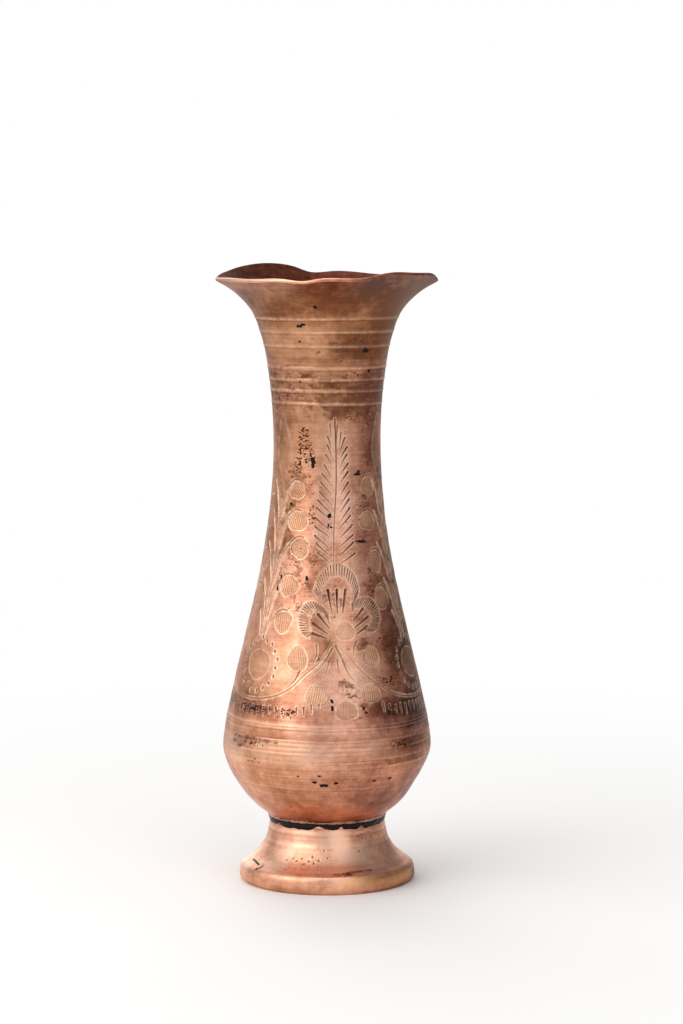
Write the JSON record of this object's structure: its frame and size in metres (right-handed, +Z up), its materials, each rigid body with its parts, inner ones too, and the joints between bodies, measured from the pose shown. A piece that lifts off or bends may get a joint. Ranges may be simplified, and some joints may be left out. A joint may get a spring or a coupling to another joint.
{
  "type": "engraved brass flower vase",
  "caption": "Tall engraved flower vase with a tapering body, a closed round bowl, a flared lobed mouth and a spreading hollow foot.",
  "frame": {"origin": "centre of the foot's flat underside", "axes": "+Z up along the axis the vase is turned on; -Y is the front, the side with a palm-and-flower column in its middle"},
  "size_m": [0.0928, 0.0927, 0.2591],
  "materials": {
    "neck_brass": "turned rose brass, worn, brown tarnish between bright ridges",
    "engraved_brass": "satin rose brass, hand-engraved, with patchy tarnish and specks of old lacquer",
    "bowl_brass": "turned satin rose brass with fine lathe lines",
    "foot_brass": "rubbed pale rose brass, golden at its base",
    "black_lacquer": "old black lacquer, chipped",
    "braze_metal": "rough yellow braze"
  },
  "bodies": {
    "root": {"mouth": "neck_brass", "body": "engraved_brass", "lower_bowl": "bowl_brass", "foot": "foot_brass", "foot_joint_lacquer": "black_lacquer", "neck_braze_ring": "braze_metal", "belly_braze_ring": "braze_metal", "foot_braze_ring": "braze_metal"}
  },
  "joints": []
}
